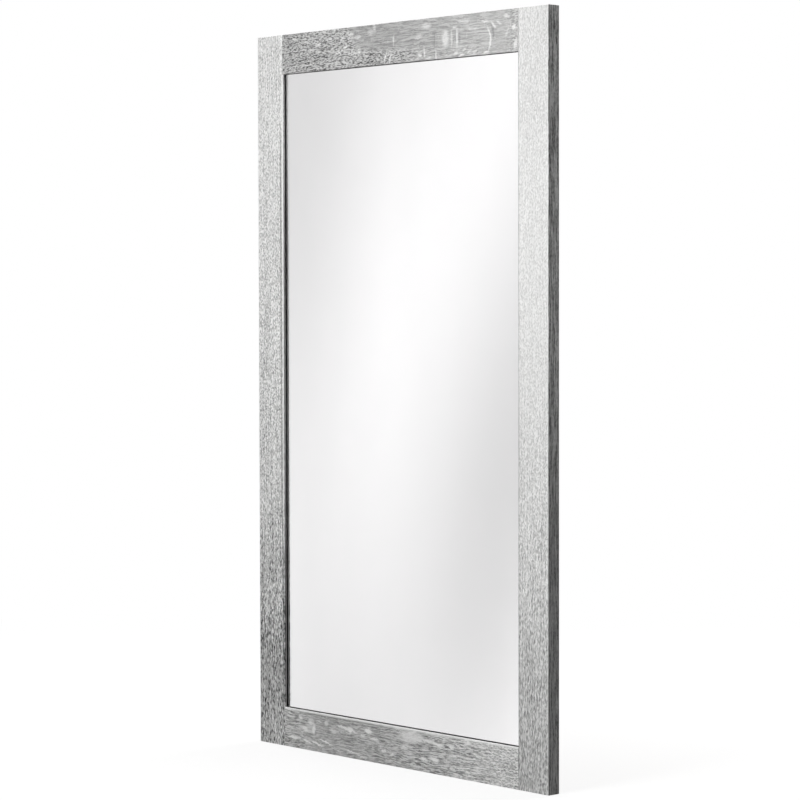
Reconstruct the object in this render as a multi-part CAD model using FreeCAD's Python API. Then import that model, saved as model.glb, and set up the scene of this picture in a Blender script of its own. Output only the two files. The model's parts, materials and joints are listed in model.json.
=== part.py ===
import FreeCAD, Part
import math
import os
from collections import namedtuple

os.makedirs("parts", exist_ok=True)

# A wall mirror in a flat solid oak frame, standing upright, seen face is towards -Y.
# X runs across, Y from the face to the wall, Z up. The origin is in the middle of the foot.
# All lengths are in millimetres.

# The frame: two stiles of full height with two rails butted between them
frame_width = 700.0
frame_height = 1200.0
frame_thickness = 25.0
member_width = 66.0
front_arris = 1.0
back_round = 4.0
lip_depth = 3.5
rebate_width = 10.0

# The dowels that join each rail to each stile
dowel_diameter = 8.0
dowel_length = 50.0
dowel_fit = 0.05
dowel_end_gap = 1.0
dowel_edge_distance = 15.0
dowel_rebate_distance = 13.0

# The pane and what lies in front of it, behind it and under it
tape_thickness = 1.0
tape_width = 7.0
tape_proud = 0.3
glass_thickness = 4.0
glass_arris = 0.6
glass_side_gap = 2.0
film_thickness = 0.2
film_edge_margin = 0.7
block_height = 3.0
block_length = 50.0
board_thickness = 6.0
sheet_gap = 1.0

# The turn buttons that hold the back board in
button_thickness = 1.2
button_pivot_radius = 6.0
button_tip_radius = 4.0
button_reach = 20.0
button_inset = 8.0
button_lift = 1.0
button_ramp_length = 3.0
button_pivot_clearance = 0.1

# The hangers: a strap curled round the bar of a wire ring
wire_diameter = 4.0
ring_width = 36.0
ring_height = 28.0
ring_corner_radius = 5.0
strap_thickness = 1.5
strap_width = 16.0
eye_clearance = 0.1
eye_curl_degrees = 290.0
strap_first_screw = 33.0
strap_screw_spacing = 16.0
strap_hole_clearance = 0.15
hanger_edge_distance = 33.0
hanger_drop = 300.0

# The rubber bumpers that keep the rings off the wall
bumper_height = 8.0
bumper_base_radius = 8.0
bumper_face_radius = 7.0
bumper_well_radius = 4.2
bumper_well_depth = 4.5
bumper_hole_clearance = 0.15
bumper_edge_distance = 24.0

# Screws: a cheese head with one slot, on a plain shank
Screw = namedtuple("Screw", "shank_radius length head_radius head_height")
button_screw = Screw(shank_radius=1.6, length=14.0, head_radius=3.2, head_height=1.9)
hanger_screw = Screw(shank_radius=2.0, length=16.0, head_radius=3.6, head_height=2.2)
bumper_screw = Screw(shank_radius=1.75, length=18.0, head_radius=3.5, head_height=2.0)
slot_width_share = 0.26
slot_depth_share = 0.5
pilot_clearance = 0.05
pilot_end_gap = 1.0

# Where the fittings stand, as shares of the side that carries them
stile_button_shares = {"lower": 1 / 6, "middle": 1 / 2, "upper": 5 / 6}
rail_button_share = 1 / 4
block_place_share = 1 / 4

# How far each cutting body runs past what it cuts
overrun = 5.0

# Planes that follow from the sizes above
half_width = frame_width / 2
half_depth = (frame_thickness + bumper_height) / 2
face_y = -half_depth
back_y = face_y + frame_thickness
tape_y = face_y + lip_depth
glass_y = tape_y + tape_thickness
film_y = glass_y + glass_thickness
card_y = film_y + film_thickness
board_y = back_y - board_thickness
sight_half_width = half_width - member_width
sight_bottom = member_width
sight_top = frame_height - member_width
rebate_half_width = sight_half_width + rebate_width
rebate_bottom = sight_bottom - rebate_width
rebate_top = sight_top + rebate_width
dowel_spacing = member_width - rebate_width - dowel_edge_distance - dowel_rebate_distance

# Sizes of the hanger that follow from its wire
wire_radius = wire_diameter / 2
eye_inner_radius = wire_radius + eye_clearance
eye_outer_radius = eye_inner_radius + strap_thickness
hanger_x = half_width - hanger_edge_distance
hanger_z = frame_height - hanger_drop


def block(low, high):
    """A box between two corners."""
    size = [b - a for a, b in zip(low, high)]
    return Part.makeBox(*size, FreeCAD.Vector(*low))


def sheet(half_x, low_z, high_z, low_y, high_y):
    """A flat sheet that is centred across the mirror."""
    return block((-half_x, low_y, low_z), (half_x, high_y, high_z))


def at(shape, x, y, z, turn=0.0):
    """The shape turned about its own Y axis, by degrees, and then set down at a place."""
    turned = FreeCAD.Rotation(FreeCAD.Vector(0, 1, 0), turn)
    placed = shape.copy()
    placed.Placement = FreeCAD.Placement(FreeCAD.Vector(x, y, z), turned).multiply(placed.Placement)
    return placed


def edges_in_plane(shape, y):
    """The edges that lie whole in the plane at depth y."""
    slack = overrun / 1000
    return [e for e in shape.Edges if abs(e.BoundBox.YMin - y) < slack and abs(e.BoundBox.YMax - y) < slack]


def turned_about_y(outline):
    """A turned solid, from the (radius, height) corners of the outline on one side of its axis."""
    points = [FreeCAD.Vector(r, y, 0) for r, y in outline]
    face = Part.Face(Part.makePolygon(points + points[:1]))
    return face.revolve(FreeCAD.Vector(0, 0, 0), FreeCAD.Vector(0, 1, 0), 360)


# Screws and the pilot holes that they are driven into


def screw_solid(screw):
    """A screw whose head stands up from y = 0 and whose shank goes down."""
    r, length, head_r, head_h = screw
    shank = [(0, -length), (r, -length), (r, 0)]
    head = [(head_r, 0), (head_r, head_h), (0, head_h)]
    reach = head_r + overrun
    half_slot = head_r * slot_width_share / 2
    floor = head_h * (1 - slot_depth_share)
    slot = block((-reach, floor, -half_slot), (reach, head_h + overrun, half_slot))
    return turned_about_y(shank + head).cut(slot)


def pilot(screw, seat):
    """The flat ended hole for a screw whose head seats at this height above the wood."""
    r = screw.shank_radius + pilot_clearance
    depth = screw.length - seat + pilot_end_gap
    return turned_about_y([(0, -depth), (r, -depth), (r, overrun), (0, overrun)])


# Turn buttons


def button_places():
    """Name, x, z and turn of each turn button, which points over the back board at rest."""
    places = []
    pivot_x = rebate_half_width + button_inset
    for level, share in stile_button_shares.items():
        places.append((level + "_left_turn_button", -pivot_x, frame_height * share, 0))
        places.append((level + "_right_turn_button", pivot_x, frame_height * share, 180))
    rail_x = frame_width * rail_button_share
    for hand, x in (("left", -rail_x), ("right", rail_x)):
        places.append(("foot_" + hand + "_turn_button", x, rebate_bottom - button_inset, -90))
        places.append(("head_" + hand + "_turn_button", x, rebate_top + button_inset, 90))
    return places


def bent_strip():
    """The strip that a button is cut from, with its tip end lifted by an S bend."""
    t = button_thickness
    slope = math.atan2(button_lift, button_ramp_length)
    shift = t * math.tan(slope / 2)
    tip_flat = 2 * button_tip_radius
    high_x = button_reach - tip_flat
    low_x = high_x - button_ramp_length
    ends = (-button_pivot_radius - overrun, button_reach + overrun)
    bends = [(low_x, 0), (high_x, button_lift), (high_x - shift, button_lift + t), (low_x - shift, t)]
    outline = [(ends[0], 0), bends[0], bends[1], (ends[1], button_lift)]
    outline += [(ends[1], button_lift + t), bends[2], bends[3], (ends[0], t)]
    half = button_pivot_radius + overrun
    points = [FreeCAD.Vector(x, y, -half) for x, y in outline]
    return Part.Face(Part.makePolygon(points + points[:1])).extrude(FreeCAD.Vector(0, 0, 2 * half))


def button_outline():
    """Two round ends joined by their common tangents, as a plate that is thicker than the strip."""
    big, small = button_pivot_radius, button_tip_radius
    span = button_reach - small
    lean = math.acos((big - small) / span)

    def on(centre, radius, angle):
        return FreeCAD.Vector(centre + radius * math.cos(angle), -overrun, radius * math.sin(angle))

    edges = [
        Part.Arc(on(0, big, lean), on(0, big, math.pi), on(0, big, -lean)),
        Part.LineSegment(on(0, big, -lean), on(span, small, -lean)),
        Part.Arc(on(span, small, -lean), on(span, small, 0), on(span, small, lean)),
        Part.LineSegment(on(span, small, lean), on(0, big, lean)),
    ]
    face = Part.Face(Part.Wire([e.toShape() for e in edges]))
    height = button_thickness + button_lift + 2 * overrun
    return face.extrude(FreeCAD.Vector(0, height, 0))


def turn_button():
    """A stamped button: pivot on the origin, flat on y = 0, pointing to +X."""
    hole_radius = button_screw.shank_radius + button_pivot_clearance
    hole = Part.makeCylinder(
        hole_radius, button_thickness + 2 * overrun, FreeCAD.Vector(0, -overrun, 0), FreeCAD.Vector(0, 1, 0)
    )
    return bent_strip().common(button_outline()).cut(hole)


# Hangers, built with the bar's axis on x and z = 0 and the frame's back at y = 0


def strap():
    """A strip with one end curled round the ring's bar, two screw holes and a round foot."""
    ri, ro, t = eye_inner_radius, eye_outer_radius, strap_thickness
    last_screw = strap_first_screw + strap_screw_spacing
    foot_radius = strap_width / 2
    foot_z = -last_screw - foot_radius

    def on(radius, curled):
        angle = math.radians(180 - curled)
        return FreeCAD.Vector(-strap_width / 2, ro + radius * math.cos(angle), radius * math.sin(angle))

    full, half = eye_curl_degrees, eye_curl_degrees / 2
    low = [FreeCAD.Vector(-strap_width / 2, y, foot_z) for y in (0, t)]
    edges = [
        Part.LineSegment(low[0], on(ro, 0)),
        Part.Arc(on(ro, 0), on(ro, half), on(ro, full)),
        Part.LineSegment(on(ro, full), on(ri, full)),
        Part.Arc(on(ri, full), on(ri, half), on(ri, 0)),
        Part.LineSegment(on(ri, 0), low[1]),
        Part.LineSegment(low[1], low[0]),
    ]
    face = Part.Face(Part.Wire([e.toShape() for e in edges]))
    strip = face.extrude(FreeCAD.Vector(strap_width, 0, 0))
    depth = 2 * ro + 2 * overrun
    blank = block((-foot_radius, -overrun, -last_screw), (foot_radius, depth - overrun, ro + overrun))
    toe = Part.makeCylinder(
        foot_radius, depth, FreeCAD.Vector(0, -overrun, -last_screw), FreeCAD.Vector(0, 1, 0)
    )
    plate = strip.common(blank.fuse(toe))
    for z in (-strap_first_screw, -last_screw):
        hole = Part.makeCylinder(
            hanger_screw.shank_radius + strap_hole_clearance, depth,
            FreeCAD.Vector(0, -overrun, z), FreeCAD.Vector(0, 1, 0)
        )
        plate = plate.cut(hole)
    return plate


def ring():
    """The wire ring: a straight bar, two tight corners, two short legs and a half round bow that hangs down."""
    half = ring_width / 2 - wire_radius
    corner = ring_corner_radius
    bow_z = half + wire_diameter - ring_height
    across, up, turn_axis = FreeCAD.Vector(1, 0, 0), FreeCAD.Vector(0, 0, 1), FreeCAD.Vector(0, 1, 0)

    def point(x, z):
        return FreeCAD.Vector(x, eye_outer_radius, z)

    def section(x, z, along):
        return Part.Face(Part.Wire(Part.makeCircle(wire_radius, point(x, z), along)))

    bar = section(corner - half, 0, across).extrude(across * (2 * (half - corner)))
    runs = []
    for side, quarter in ((1, 90), (-1, -90)):
        bend_x = side * (half - corner)
        runs.append(section(bend_x, 0, across).revolve(point(bend_x, -corner), turn_axis, quarter))
        runs.append(section(side * half, -corner, up).extrude(up * (bow_z + corner)))
    runs.append(section(half, bow_z, up).revolve(point(0, bow_z), turn_axis, 180))
    return bar.fuse(runs).removeSplitter().Solids[0]


# Bumpers


def bumper():
    """A tapered rubber foot with a well that sinks the screw's head."""
    hole = bumper_screw.shank_radius + bumper_hole_clearance
    base, face, high = bumper_base_radius, bumper_face_radius, bumper_height
    floor = high - bumper_well_depth
    outside = [(hole, 0), (base, 0), (face, high)]
    well = [(bumper_well_radius, high), (bumper_well_radius, floor), (hole, floor)]
    return turned_about_y(outside + well)


def corner_places():
    """Name, side across and side up of the four corners."""
    levels = (("foot", -1), ("head", 1))
    hands = (("left", -1), ("right", 1))
    return [(level + "_" + hand, across, up) for level, up in levels for hand, across in hands]


def bumper_place(across, up):
    """Where a corner's bumper stands on the frame's back."""
    x = across * (half_width - bumper_edge_distance)
    z = bumper_edge_distance if up < 0 else frame_height - bumper_edge_distance
    return x, back_y, z


# The frame


def dowel_axes(across, up):
    """Height of each dowel of a corner, counted from the frame's outer edge."""
    heights = (dowel_edge_distance, dowel_edge_distance + dowel_spacing)
    return [(across * sight_half_width, h if up < 0 else frame_height - h) for h in heights]


def dowel_solid(radius, length, x, z):
    """A round peg along X that is centred on the joint between rail and stile."""
    y = face_y + frame_thickness / 2
    start = FreeCAD.Vector(x - length / 2, y, z)
    return Part.makeCylinder(radius, length, start, FreeCAD.Vector(1, 0, 0))


def corner_dowels(across, up):
    """The two beech dowels of one corner."""
    places = dowel_axes(across, up)
    return Part.makeCompound([dowel_solid(dowel_diameter / 2, dowel_length, *p) for p in places])


def joined_frame():
    """The frame as it is after its glue-up: arrises eased, back edges rounded, rebate cut."""
    blank = block((-half_width, face_y, 0), (half_width, back_y, frame_height))
    through = sheet(sight_half_width, sight_bottom, sight_top, face_y - overrun, back_y + overrun)
    ring_blank = blank.cut(through)
    eased = ring_blank.makeFillet(front_arris, edges_in_plane(ring_blank, face_y))
    on_back = edges_in_plane(eased, back_y)
    outer = [e for e in on_back if e.BoundBox.DiagonalLength > 0 and lies_outside(e)]
    eased = eased.makeFillet(back_round, outer)
    rebate = sheet(rebate_half_width, rebate_bottom, rebate_top, tape_y, back_y + overrun)
    return eased.cut(rebate)


def lies_outside(edge):
    """Whether a back edge belongs to the outer outline and not to the sight opening."""
    centre = edge.CenterOfMass
    across = abs(centre.x) > rebate_half_width
    along = centre.z < rebate_bottom or centre.z > rebate_top
    return across or along


def holes_for_fittings():
    """Every dowel hole and pilot hole in the frame."""
    holes = []
    hole_radius = dowel_diameter / 2 + dowel_fit
    hole_length = dowel_length + 2 * dowel_end_gap
    for name, across, up in corner_places():
        holes += [dowel_solid(hole_radius, hole_length, *p) for p in dowel_axes(across, up)]
        holes.append(at(pilot(bumper_screw, bumper_height - bumper_well_depth), *bumper_place(across, up)))
    for name, x, z, turn in button_places():
        holes.append(at(pilot(button_screw, button_thickness), x, back_y, z))
    for x, z in hanger_screw_places():
        holes.append(at(pilot(hanger_screw, strap_thickness), x, back_y, z))
    return holes


def hanger_screw_places():
    """The two screws of each strap."""
    drops = (strap_first_screw, strap_first_screw + strap_screw_spacing)
    return [(x, hanger_z - drop) for x in (-hanger_x, hanger_x) for drop in drops]


def frame_members():
    """The four members, cut from the eased frame along the joints."""
    whole = joined_frame()
    out = overrun
    low_y, high_y = face_y - out, back_y + out
    cuts = {
        "left_stile": block((-half_width - out, low_y, -out), (-sight_half_width, high_y, frame_height + out)),
        "right_stile": block((sight_half_width, low_y, -out), (half_width + out, high_y, frame_height + out)),
        "bottom_rail": sheet(sight_half_width, -out, sight_bottom, low_y, high_y),
        "top_rail": sheet(sight_half_width, sight_top, frame_height + out, low_y, high_y),
    }
    holes = holes_for_fittings()
    members = {}
    for name, cutter in cuts.items():
        member = whole.common(cutter)
        near = [h for h in holes if h.BoundBox.intersect(member.BoundBox)]
        members[name] = member.cut(near).Solids[0]
    return members


# The glazing


def tape_strips():
    """Four mitred strips of glazing tape, whose inner edge slopes out to the glass."""
    wide = sight_half_width + tape_width
    low, high = sight_bottom - tape_width, sight_top + tape_width
    band = sheet(wide, low, high, tape_y, glass_y)

    def rectangle(inset, y):
        corners = [
            (-sight_half_width + inset, sight_bottom + inset), (sight_half_width - inset, sight_bottom + inset),
            (sight_half_width - inset, sight_top - inset), (-sight_half_width + inset, sight_top - inset),
        ]
        points = [FreeCAD.Vector(x, y, z) for x, z in corners]
        return Part.makePolygon(points + points[:1])

    window = Part.makeLoft([rectangle(0, tape_y), rectangle(tape_proud, glass_y)], True, True)
    whole = band.cut(window)
    reach = tape_width + tape_proud + overrun
    outer = [(-wide, low), (wide, low), (wide, high), (-wide, high)]
    inner = [(-wide + reach, low + reach), (wide - reach, low + reach)]
    inner += [(wide - reach, high - reach), (-wide + reach, high - reach)]
    strips = {}
    for side, name in enumerate(("bottom", "right", "top", "left")):
        after = (side + 1) % len(outer)
        corners = [outer[side], outer[after], inner[after], inner[side]]
        points = [FreeCAD.Vector(x, tape_y - overrun, z) for x, z in corners]
        wedge = Part.Face(Part.makePolygon(points + points[:1]))
        wedge = wedge.extrude(FreeCAD.Vector(0, tape_thickness + 2 * overrun, 0))
        strips[name + "_glazing_tape"] = whole.common(wedge).Solids[0]
    return strips


def glass_pane():
    """The clear float pane with its ground arrises."""
    half = rebate_half_width - glass_side_gap
    pane = sheet(half, rebate_bottom + block_height, rebate_top - glass_side_gap, glass_y, film_y)
    rims = edges_in_plane(pane, glass_y) + edges_in_plane(pane, film_y)
    return pane.makeChamfer(glass_arris, rims)


def silver_film():
    """The silvering with its paint and safety film, as one thin skin on the pane's back."""
    half = rebate_half_width - glass_side_gap - film_edge_margin
    low = rebate_bottom + block_height + film_edge_margin
    high = rebate_top - glass_side_gap - film_edge_margin
    return sheet(half, low, high, film_y, card_y)


def setting_blocks():
    """Two rubber blocks in the rebate that carry the pane's weight."""
    centre = rebate_half_width * 2 * block_place_share
    blocks = []
    for x in (-centre, centre):
        low = (x - block_length / 2, glass_y, rebate_bottom)
        high = (x + block_length / 2, film_y, rebate_bottom + block_height)
        blocks.append(block(low, high))
    return Part.makeCompound(blocks)


def backing_sheet(low_y, high_y):
    """A sheet that fills the rebate with a small gap all round."""
    return sheet(rebate_half_width - sheet_gap, rebate_bottom + sheet_gap, rebate_top - sheet_gap, low_y, high_y)


# All nodes

nodes = {}
nodes.update(frame_members())
nodes.update(tape_strips())
nodes["mirror_glass"] = glass_pane()
nodes["silver_film"] = silver_film()
nodes["setting_blocks"] = setting_blocks()
nodes["filler_card"] = backing_sheet(card_y, board_y)
nodes["back_board"] = backing_sheet(board_y, back_y)

bumper_screws = []
for corner, side_across, side_up in corner_places():
    place = bumper_place(side_across, side_up)
    nodes[corner + "_dowels"] = corner_dowels(side_across, side_up)
    nodes[corner + "_bumper"] = at(bumper(), *place)
    seated = at(screw_solid(bumper_screw), 0, bumper_height - bumper_well_depth, 0)
    bumper_screws.append(at(seated, *place))
nodes["bumper_screws"] = Part.makeCompound(bumper_screws)

button_screws = []
for name, x, z, turn in button_places():
    nodes[name] = at(turn_button(), x, back_y, z, turn)
    button_screws.append(at(screw_solid(button_screw), x, back_y + button_thickness, z, turn))
nodes["turn_button_screws"] = Part.makeCompound(button_screws)

for hand, x in (("left", -hanger_x), ("right", hanger_x)):
    nodes[hand + "_hanger_strap"] = at(strap(), x, back_y, hanger_z)
    nodes[hand + "_hanger_ring"] = at(ring(), x, back_y, hanger_z)
seat_y = back_y + strap_thickness
hanger_screws = [at(screw_solid(hanger_screw), x, seat_y, z) for x, z in hanger_screw_places()]
nodes["hanger_screws"] = Part.makeCompound(hanger_screws)

for name, shape in nodes.items():
    shape.exportStep("parts/" + name + ".step")
    print(name, len(shape.Solids), "solids", round(shape.Volume), "mm3", shape.isValid())
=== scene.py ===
import json
import math

import bmesh
import bpy
import numpy as np
from mathutils import Matrix, Vector


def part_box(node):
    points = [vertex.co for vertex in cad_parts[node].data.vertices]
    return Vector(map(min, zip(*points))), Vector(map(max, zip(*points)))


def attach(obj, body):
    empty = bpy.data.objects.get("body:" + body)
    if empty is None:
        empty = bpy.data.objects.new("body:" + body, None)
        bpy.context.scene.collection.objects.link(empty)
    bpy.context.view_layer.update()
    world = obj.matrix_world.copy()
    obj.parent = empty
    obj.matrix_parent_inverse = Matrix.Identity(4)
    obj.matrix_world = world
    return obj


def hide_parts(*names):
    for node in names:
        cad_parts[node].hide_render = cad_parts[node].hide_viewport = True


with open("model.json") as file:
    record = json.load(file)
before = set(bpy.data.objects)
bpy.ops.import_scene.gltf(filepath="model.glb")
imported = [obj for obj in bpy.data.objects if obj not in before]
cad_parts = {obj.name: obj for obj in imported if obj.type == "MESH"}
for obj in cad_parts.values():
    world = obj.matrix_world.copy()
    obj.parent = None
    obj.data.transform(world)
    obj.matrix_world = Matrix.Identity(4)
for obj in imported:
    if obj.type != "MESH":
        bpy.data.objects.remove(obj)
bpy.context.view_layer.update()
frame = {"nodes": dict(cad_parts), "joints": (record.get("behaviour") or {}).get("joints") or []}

# The view of the mirror: a long lens from the front right, a little above the middle, looking
# slightly down. The distance is counted from the middle of the frame's face.
view_yaw, view_pitch, view_roll = (math.radians(a) for a in (48.3353, 2.1288, -0.1306))
view_distance = 4.41004
view_aside = 0.00773
view_height = 0.75790
view_lens = 123.31
view_film = 36.0
face_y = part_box("left_stile")[0].y

level = Vector((-math.sin(view_yaw), math.cos(view_yaw), 0))
aside = Vector((math.cos(view_yaw), math.sin(view_yaw), 0))
upright = Vector((0, 0, 1))
ahead = level * math.cos(view_pitch) - upright * math.sin(view_pitch)
above = level * math.sin(view_pitch) + upright * math.cos(view_pitch)
right = aside * math.cos(view_roll) + above * math.sin(view_roll)
above = above * math.cos(view_roll) - aside * math.sin(view_roll)
camera = bpy.data.objects.new("camera", bpy.data.cameras.new("camera"))
camera.data.lens = view_lens
camera.data.sensor_width = view_film
camera.data.clip_end = 100.0
stand = aside * view_aside - level * view_distance + Vector((0, face_y, view_height))
camera.matrix_world = Matrix.Translation(stand) @ Matrix((right, above, -ahead)).transposed().to_4x4()
bpy.context.scene.collection.objects.link(camera)
bpy.context.scene.camera = camera

# Left and right stile: full height boards of silvered oak, wire brushed until the pores stand
# open, eased by hand along the front arrises and finished with a thin matt grey oil.


def give(tree, socket, value):
    """Links another node's output to the socket, or sets a plain value on it."""
    if isinstance(value, bpy.types.NodeSocket):
        tree.links.new(value, socket)
    else:
        socket.default_value = value


def put(tree, kind, feeds=None, **settings):
    """A shader node of that kind, with its settings made and each input fed by a value or another node."""
    made = tree.nodes.new("ShaderNode" + kind)
    for name, value in settings.items():
        setattr(made, name, value)
    for name, value in (feeds or {}).items():
        give(tree, made.inputs[name], value)
    return made


def reckon(tree, how, *terms):
    """One step of arithmetic on numbers that change over the surface."""
    return put(tree, "Math", dict(enumerate(terms)), operation=how).outputs[0]


def reckon_places(tree, how, *terms):
    """One step of arithmetic on places."""
    return put(tree, "VectorMath", dict(enumerate(terms)), operation=how).outputs[0]


def times(tree, first, *others):
    """The product of numbers that change over the surface."""
    for other in others:
        first = reckon(tree, "MULTIPLY", first, other)
    return first


def summed(tree, first, *others):
    """The sum of numbers that change over the surface."""
    for other in others:
        first = reckon(tree, "ADD", first, other)
    return first


def diagonal(tree, one, two):
    """The length of a line that goes one number across and the other up."""
    return reckon(tree, "SQRT", summed(tree, times(tree, one, one), times(tree, two, two)))


def rise(tree, value, low, high, start=0.0, end=1.0):
    """A smooth climb from start to end while the value goes from low to high."""
    feeds = {"Value": value, "From Min": low, "From Max": high, "To Min": start, "To Max": end}
    return put(tree, "MapRange", feeds, interpolation_type="SMOOTHSTEP").outputs[0]


def band(tree, value, low, low_full, high_full, high):
    """1 while the value lies between the two inner places, and 0 past the two outer ones."""
    return times(tree, rise(tree, value, low, low_full), rise(tree, value, high_full, high, 1.0, 0.0))


def blend_tones(tree, share, first, second):
    """The first colour where the share is 0 and the second where it is 1."""
    return put(tree, "Mix", {0: share, 6: first, 7: second}, data_type="RGBA").outputs[2]


def blend_values(tree, share, first, second):
    """The first number where the share is 0 and the second where it is 1."""
    return put(tree, "Mix", {0: share, 2: first, 3: second}, data_type="FLOAT").outputs[0]


def mottle(tree, place, sizes, detail=2.0, harshness=0.55):
    """Noise between 0 and 1 whose blotches have these sizes, in metres across, through and along."""
    scaled = put(tree, "Mapping", {"Vector": place, "Scale": [1 / s for s in sizes]})
    feeds = {"Vector": scaled.outputs[0], "Scale": 1.0, "Detail": detail, "Roughness": harshness}
    return put(tree, "TexNoise", feeds).outputs


def stray(tree, place, sizes, detail=1.0):
    """How far a place wanders along X, Y and Z: three such noises, about 0."""
    return reckon_places(tree, "SUBTRACT", mottle(tree, place, sizes, detail)[1], (0.5, 0.5, 0.5))


def effect(name, takes, gives):
    """An empty shader group with those inputs and outputs, and its two end nodes."""
    tree = bpy.data.node_groups.new(name, "ShaderNodeTree")
    for label, kind, value in takes:
        socket = tree.interface.new_socket(label, in_out="INPUT", socket_type="NodeSocket" + kind)
        if kind == "Float":
            socket.default_value = value
    for label, kind in gives:
        tree.interface.new_socket(label, in_out="OUTPUT", socket_type="NodeSocket" + kind)
    return tree, tree.nodes.new("NodeGroupInput").outputs, tree.nodes.new("NodeGroupOutput").inputs


def use_effect(tree, group, feeds):
    """The outputs of that group, placed in a material with its inputs fed."""
    return put(tree, "Group", feeds, node_tree=group).outputs


def by_stages(tree, value, stages):
    """A number that passes smoothly through stages, each a (place, number) pair."""
    total = stages[0][1]
    for (low, first), (high, second) in zip(stages, stages[1:]):
        total = reckon(tree, "ADD", rise(tree, value, low, high, 0.0, second - first), total)
    return total


def dashes(tree, place, size, tear):
    """Sharp dashes of that size, between 0 and 1, whose edges are torn along the grain."""
    scaled = reckon_places(tree, "DIVIDE", place, size)
    feeds = {"Vector": scaled, "Scale": 1.0, "Detail": 0.6, "Roughness": 0.5}
    torn = reckon(tree, "ADD", put(tree, "TexNoise", feeds).outputs[0], tear)
    return rise(tree, torn, 0.40, 0.56)


def build_oak_grain():
    """Brushed oak with its grain along local Z: dashes of open pore and hard ridge, wandering ripples of
    growth, drifts where both crowd together, and fine pores that show from close by."""
    takes = [(label, "Vector", None) for label in ("Place", "Long Dash", "Short Dash")]
    takes += [("Short Share", "Float", 0.0), ("Ripple Pitch", "Float", 0.006)]
    takes += [("Unrest", "Float", 1.5), ("Waver", "Float", 0.006)]
    gives = [(label, "Float") for label in ("Dashes", "Ripples", "Growth", "Drift", "Pores", "Height")]
    tree, given, result = effect("oak_grain", takes, gives)
    place = given["Place"]
    slow_size, quick_size, bow = (0.10, 0.10, 0.40), (0.010, 0.010, 0.024), (0.018, 0.018, 0.0)
    moved = reckon_places(tree, "MULTIPLY_ADD", stray(tree, place, slow_size), bow, place)
    moved = reckon_places(tree, "MULTIPLY_ADD", stray(tree, place, quick_size), given["Waver"], moved)
    fibre_size, pore_size = (0.0005, 0.0005, 0.0080), (0.0006, 0.0006, 0.0080)
    growth_size, drift_size, sway_size = (0.0060, 0.0060, 0.30), (0.018, 0.018, 0.050), (0.016, 0.016, 0.045)
    tear = reckon(tree, "MULTIPLY_ADD", mottle(tree, moved, fibre_size, 1.0, 0.5)[0], 0.6, -0.3)
    long_dash, short_dash = (dashes(tree, moved, given[label], tear) for label in ("Long Dash", "Short Dash"))
    dash = blend_values(tree, given["Short Share"], long_dash, short_dash)
    growth = mottle(tree, moved, growth_size, 3.0, 0.6)[0]
    drift = mottle(tree, moved, drift_size, 3.0, 0.6)[0]
    pore = mottle(tree, moved, pore_size, 1.0, 0.5)[0]
    pores = times(tree, rise(tree, pore, 0.55, 0.66), rise(tree, drift, 0.35, 0.60, 1.0, 0.2))
    sway = mottle(tree, place, sway_size, 2.0, 0.5)[0]
    even = reckon(tree, "DIVIDE", put(tree, "SeparateXYZ", {0: moved}).outputs[0], given["Ripple Pitch"])
    turns = reckon(tree, "MULTIPLY_ADD", sway, given["Unrest"], even)
    ripples = reckon(tree, "MULTIPLY_ADD", reckon(tree, "SINE", times(tree, turns, 2 * math.pi)), 0.5, 0.5)
    height = summed(tree, times(tree, dash, 0.7), times(tree, ripples, 0.3), times(tree, pores, -0.6))
    for (label, kind), value in zip(gives, (dash, ripples, growth, drift, pores, height)):
        tree.links.new(value, result[label])
    return tree


def build_eased_edge():
    """How near a point is to an arris that runs where two of its coordinates reach set values."""
    takes = [("Off One", "Float", 0.0), ("Off Two", "Float", 0.0), ("Reach", "Float", 0.002)]
    tree, given, result = effect("eased_edge", takes, [("Nearness", "Float")])
    away = diagonal(tree, given["Off One"], given["Off Two"])
    near = reckon(tree, "SUBTRACT", 1.0, reckon(tree, "DIVIDE", away, given["Reach"]))
    tree.links.new(rise(tree, near, 0.0, 1.0), result["Nearness"])
    return tree


oak_grain = build_oak_grain()
eased_edge = build_eased_edge()
stile_low, stile_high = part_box("right_stile")
frame_half, sight_half = stile_high.x, stile_low.x
sight_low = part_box("bottom_rail")[1].z
back_y = stile_high.y


def start_material(name):
    """A new material's tree, its Principled shader, and the place of a point on the piece."""
    made = bpy.data.materials.new(name)
    made.use_nodes = True
    tree = made.node_tree
    shader = tree.nodes["Principled BSDF"]
    return made, tree, shader, tree.nodes.new("ShaderNodeTexCoord").outputs["Object"]


def feed(tree, shader, **feeds):
    """Sets or links the shader's sockets, whose names are written with underscores."""
    for name, value in feeds.items():
        give(tree, shader.inputs[name.replace("_", " ")], value)


def bumped(tree, height, distance):
    """The normal of a surface with that relief, whose unit is distance in metres."""
    return put(tree, "Bump", {"Height": height, "Distance": distance}).outputs[0]


def paint(node, material):
    """Gives a CAD node that material."""
    for slot in frame["nodes"][node].material_slots:
        slot.material = material


soot, chalk = (0.012, 0.012, 0.012, 1), (1.0, 1.0, 0.992, 1)
dash_swing, dash_offset, pore_shade, brushed_depth = 2.14, -1.15, 0.70, 0.0003
ray_shade, stroke_shade, worn_shade, worn_share, worn_reach = 0.95, 0.12, 0.90, 0.6, 0.0036


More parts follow.
